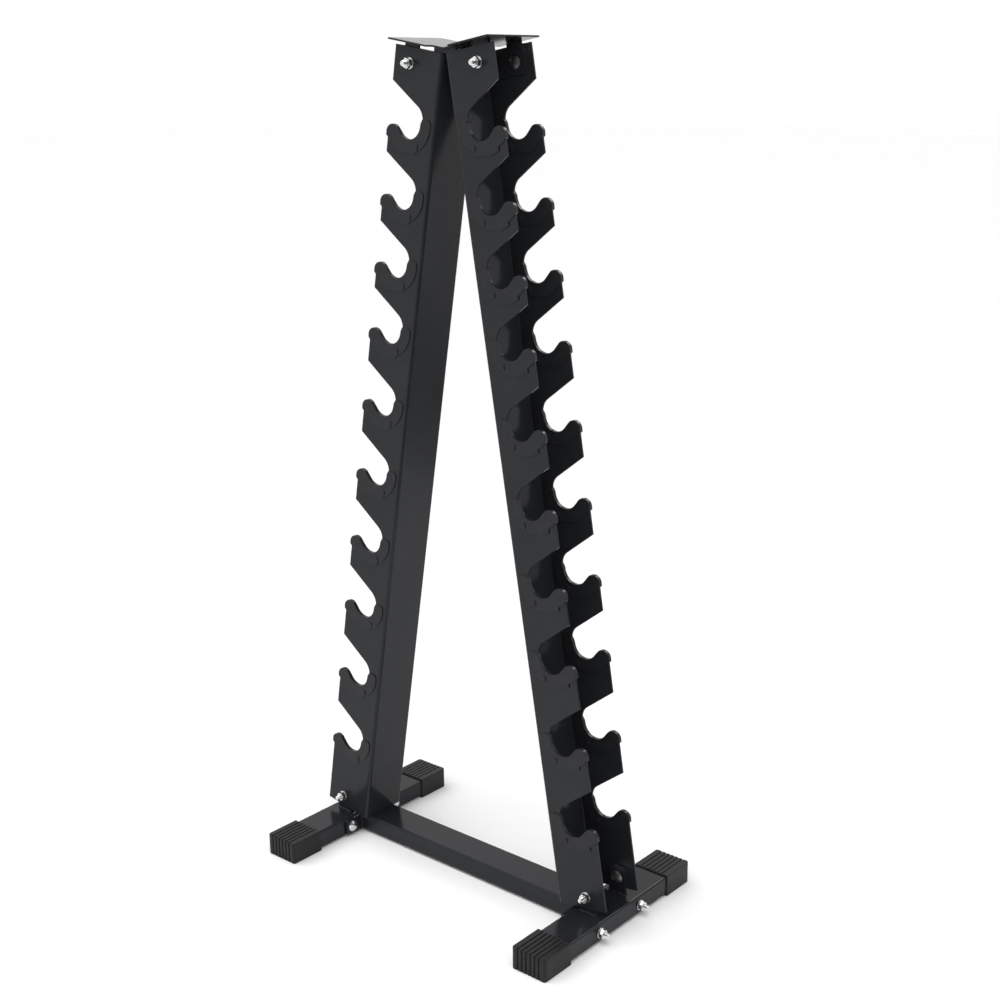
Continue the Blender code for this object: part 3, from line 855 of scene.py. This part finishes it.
def make_washer_mesh():
    ring = prism("washer", circle(WASHER_RADIUS, 48), WASHER_THICK, upright=True)
    washer = cut(ring, hole_cutter(BOLT_RADIUS + CLEAR, THROUGH, "Y", (0, 0, 0), BOLT_SIDES))
    return soften(washer, FINE_ROUND)


def make_fastener(name, axis_frame, grip, patterns, paint, head_paint, turn):
    """A bolt, washer and nut. In axis_frame the head sits at the origin, the nut towards -Y."""
    washer_seat = grip + CLEAR
    nut_seat = washer_seat + WASHER_THICK + CLEAR
    length = nut_seat + NUT_HEIGHT + THREAD_END
    bolt = make_bolt(name + "_carriage_bolt", length, nut_seat - THREAD_LEAD)
    add(bolt, paint, axis_frame, [name + "_bolt"])
    # The head's faces take head_paint. Inside the channels this is a painted shade: a darker metal
    # than the zinc.
    bolt.data.materials.append(head_paint)
    for face in bolt.data.polygons:
        face.material_index = int(face.center.y > 0.0)
    washer = patterns["washer"].copy()
    washer.name = name + "_plain_washer"
    place = axis_frame @ Matrix.Translation((0, -washer_seat - WASHER_THICK / 2, 0))
    add(washer, paint, place, [name + "_washer"])
    nut = patterns["nut"].copy()
    nut.name = name + "_hex_nut"
    place = axis_frame @ Matrix.Translation((0, -nut_seat - NUT_HEIGHT / 2, 0))
    place = place @ Matrix.Rotation(turn, 4, "Y")
    add(nut, paint, place, [name + "_nut"])


def make_fasteners(paint, head_paint):
    patterns = {"washer": make_washer_mesh(), "nut": make_nut_mesh()}
    seat_y = INNER_FACE_Y - EAR_THICK - 2 * CLEAR
    # How far each nut is turned, in radians, so that no two show the same flats.
    turns = iter([0.35, 0.80, 0.12, 0.55, 0.95, 0.25, 0.70, 0.05, 0.45, 0.88, 0.18, 0.62])
    for side in SIDES:
        for end, sign in ENDS.items():
            facing = Matrix.Rotation(math.pi if sign > 0 else 0.0, 4, "Z")
            for part, bolt in (("head", HEAD_BOLT), ("foot", FOOT_BOLT)):
                x, z = in_world(side, bolt)
                place = Matrix.Translation((x, sign * seat_y, z)) @ facing
                grip = EAR_THICK + SHEET + 2 * CLEAR
                name = f"{side}_{part}_{end}"
                # The heads inside the channels take the painted-shade metal. The crossbar's heads
                # below stay zinc.
                make_fastener(name, place, grip, patterns, paint, head_paint, next(turns))
            low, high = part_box(side + "_crossbar_plate")
            seat_x = high.x + CLEAR if side == "left" else low.x - CLEAR
            outward = Matrix.Rotation(side_sign(side) * math.pi / 2, 4, "Z")
            seat = (seat_x, sign * CROSSBAR_BOLT_Y, TUBE_MIDDLE_Z)
            place = Matrix.Translation(seat) @ outward
            grip = high.x - low.x + TUBE_WIDTH + 2 * CLEAR
            name = f"{side}_crossbar_{end}"
            make_fastener(name, place, grip, patterns, paint, paint, next(turns))
    for pattern in patterns.values():
        bpy.data.objects.remove(pattern)


# ---------------------------------------------------------------- welds

def make_bead(name, start, end, paint, radius=BEAD_RADIUS):
    """A rippled weld bead from one point to another, half sunk in the corner it fills."""
    start, end = Vector(start), Vector(end)
    length = (end - start).length
    steps = int(length / BEAD_RIPPLE * BEAD_STEPS)
    edit = bmesh.new()
    rings = []
    for i in range(steps + 1):
        along = length * i / steps
        from_end = min(along, length - along)
        turns = math.pi * along / BEAD_RIPPLE
        # The bead swells with each ripple and with a slower wave, and wanders a little sideways.
        swell = 0.72 + 0.18 * abs(math.cos(turns)) + 0.10 * math.sin(0.7 * turns + 1.3)
        taper = math.sqrt(max(0.02, 1.0 - max(0.0, 1.0 - from_end / radius) ** 2))
        wander = Vector((math.sin(0.43 * turns + 0.5), math.sin(0.37 * turns + 2.0), 0.0))
        sway = wander * BEAD_SWAY * radius
        ring = []
        for x, y in circle(radius, BEAD_SIDES):
            point = Vector((x * swell * taper, y * swell * taper, along)) + sway
            ring.append(edit.verts.new(point))
        rings.append(ring)
    loft(edit, rings)
    edit.faces.new(rings[0])
    edit.faces.new(rings[-1])
    bead = object_from(edit, name)
    bead.data.shade_smooth()
    turn = (end - start).to_track_quat("Z", "Y").to_matrix().to_4x4()
    add(bead, paint, Matrix.Translation(start) @ turn)


def make_beads(paint):
    """Beads along both faces of each ear, round the crossbar's ends, and under the head plate."""
    half = TUBE_WIDTH / 2 - TUBE_CORNER
    for side in SIDES:
        for end, sign in ENDS.items():
            low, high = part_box(f"{side}_foot_{end}_ear")
            inner, outer = (low.y, high.y) if sign > 0 else (high.y, low.y)
            for face, y in (("inner", inner), ("outer", outer)):
                across = (low.x - BEAD_OVERLAP, high.x + BEAD_OVERLAP)
                ends = [(x, y, FOOT_TOP + CLEAR) for x in across]
                make_bead(f"{side}_{end}_ear_bead_{face}", *ends, paint)
        low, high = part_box(side + "_crossbar_plate")
        x = high.x if side == "left" else low.x
        make_bead(side + "_plate_bead_top", (x, -half, FOOT_TOP), (x, half, FOOT_TOP), paint)
        for end, sign in ENDS.items():
            y = sign * TUBE_WIDTH / 2
            ends = [(x, y, z) for z in (FOOT_LOW.z + TUBE_CORNER, FOOT_TOP - TUBE_CORNER)]
            make_bead(f"{side}_plate_bead_{end}", *ends, paint)
    for end, sign in ENDS.items():
        low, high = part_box(f"head_{end}_gusset")
        y = low.y if sign < 0 else high.y
        for side in SIDES:
            tab = [(x, LENGTH + HEAD_PLATE_RISE) for x in (TAB_INNER, TAB_OUTER)]
            ends = [(x, y, z) for x, z in (in_world(side, corner) for corner in tab)]
            make_bead(f"{side}_{end}_head_bead", *ends, paint, HEAD_BEAD_RADIUS)


# ---------------------------------------------------------------- stage

def make_stage():
    """The floor, the room, the lamps and the cards."""
    bpy.ops.mesh.primitive_plane_add(size=60.0, location=(0.0, 0.0, 0.0))
    floor = bpy.context.object
    floor.name = "floor"
    made, _, shader = new_material("pale_floor")
    shader.inputs["Base Color"].default_value = (0.97, 0.97, 0.97, 1.0)
    shader.inputs["Roughness"].default_value = 0.9
    shader.inputs["Specular IOR Level"].default_value = 0.1
    floor.data.materials.append(made)
    make_sky()
    add_light("soft_sun", "SUN", (-1.4, -1.2, 4.0), 1.5, math.radians(60))
    add_light("side_panel", "AREA", (1.2, -0.9, 2.6), 26.0, 2.0)
    # A panel high behind the rack that only gloss sees, for the glints on the cradles and beads.
    add_light("back_panel", "AREA", (0.2, 2.0, 2.55), 36.0, 1.5).visible_diffuse = False
    # Two shaded cards, one on the camera's side and one low at the right back.
    make_flag("near_flag", 0.95, (-90, 10), (0.02, 2.2), NEAR_SHADES, True)
    make_flag("far_flag", 1.2, (30, 80), (0.0, 0.9), FAR_SHADES, False)


def make_sky():
    """A white room with a dark ceiling, which starts between 35 and 55 degrees up."""
    world = bpy.data.worlds.new("studio")
    world.use_nodes = True
    tree = world.node_tree
    background = tree.nodes["Background"]
    background.inputs["Color"].default_value = (1.0, 1.0, 1.0, 1.0)
    where = tree.nodes.new("ShaderNodeTexCoord")
    split = tree.nodes.new("ShaderNodeSeparateXYZ")
    tree.links.new(where.outputs["Generated"], split.inputs["Vector"])
    walls, ceiling = math.sin(math.radians(35)), math.sin(math.radians(55))
    strength = between(tree, split.outputs["Z"], 1.0, 0.2, walls, ceiling)
    tree.links.new(strength, background.inputs["Strength"])
    bpy.context.scene.world = world


def make_flag(name, radius, azimuths, heights, shades, sideways):
    """A curved card round the rack that only reflections see, shaded sideways or upwards. The
    azimuths are in degrees, its two ends, and the heights its lower and upper edge."""
    columns, rows = 24, 12
    edit = bmesh.new()
    shade = edit.verts.layers.float.new("along")
    grid = []
    for i in range(columns + 1):
        angle = math.radians(azimuths[0] + (azimuths[1] - azimuths[0]) * i / columns)
        column = []
        for j in range(rows + 1):
            z = heights[0] + (heights[1] - heights[0]) * j / rows
            corner = edit.verts.new((radius * math.cos(angle), radius * math.sin(angle), z))
            corner[shade] = i / columns if sideways else j / rows
            column.append(corner)
        grid.append(column)
    for a, b in zip(grid, grid[1:]):
        for j in range(rows):
            edit.faces.new((a[j], b[j], b[j + 1], a[j + 1]))
    flag = object_from(edit, name)
    made, tree, _ = new_material(name)
    along = tree.nodes.new("ShaderNodeAttribute")
    along.attribute_name = "along"
    ramp = tree.nodes.new("ShaderNodeValToRGB")
    stops = ramp.color_ramp.elements
    for at, _ in shades[1:-1]:
        stops.new(at)
    for stop, (at, bright) in zip(stops, shades):
        stop.position = at
        stop.color = (bright, bright, bright, 1.0)
    tree.links.new(along.outputs["Fac"], ramp.inputs["Fac"])
    light = tree.nodes.new("ShaderNodeEmission")
    tree.links.new(ramp.outputs["Color"], light.inputs["Color"])
    tree.links.new(light.outputs["Emission"], tree.nodes["Material Output"].inputs["Surface"])
    flag.data.materials.append(made)
    bpy.context.scene.collection.objects.link(flag)
    flag.visible_camera = False
    flag.visible_diffuse = False
    flag.visible_shadow = False


def add_light(name, kind, place, power, spread):
    """A lamp aimed at the middle of the floor. Spread is the sun's angle or the panel's side."""
    light = bpy.data.lights.new(name, kind)
    light.energy = power
    if kind == "SUN":
        light.angle = spread
    else:
        light.size = spread
    lamp = bpy.data.objects.new(name, light)
    lamp.location = place
    lamp.rotation_euler = Vector(place).to_track_quat("Z", "Y").to_euler()
    bpy.context.scene.collection.objects.link(lamp)
    return lamp


def make_camera():
    yaw, pitch, roll = (math.radians(angle) for angle in CAMERA_ANGLES)
    flat = math.cos(pitch)
    forward = Vector((-math.sin(yaw) * flat, math.cos(yaw) * flat, -math.sin(pitch)))
    level = Vector((math.cos(yaw), math.sin(yaw), 0.0))
    down = forward.cross(level)
    right = math.cos(roll) * level + math.sin(roll) * down
    up = math.sin(roll) * level - math.cos(roll) * down
    lens = bpy.data.cameras.new("camera")
    lens.sensor_width = CAMERA_SENSOR
    lens.lens = CAMERA_LENS
    camera = bpy.data.objects.new("camera", lens)
    turn = Matrix((right, up, -forward)).transposed().to_4x4()
    camera.matrix_world = Matrix.Translation(CAMERA_PLACE) @ turn
    bpy.context.scene.collection.objects.link(camera)
    bpy.context.scene.camera = camera


def main():
    bpy.context.scene.view_settings.view_transform = "Standard"
    coat = powder_coat()
    plastic = liner_plastic()
    rubber = cap_rubber()
    for side in SIDES:
        make_upright(side, coat)
        make_foot(side, coat)
        make_ears(side, coat)
        for end in ENDS:
            make_cap(side, end, rubber)
    make_liners(plastic)
    make_crossbar(coat)
    make_head(coat)
    # The second material is a painted shade for the bolt heads inside the channels.
    make_fasteners(zinc(), painted_shade_head())
    make_beads(coat)
    make_stage()
    make_camera()


main()
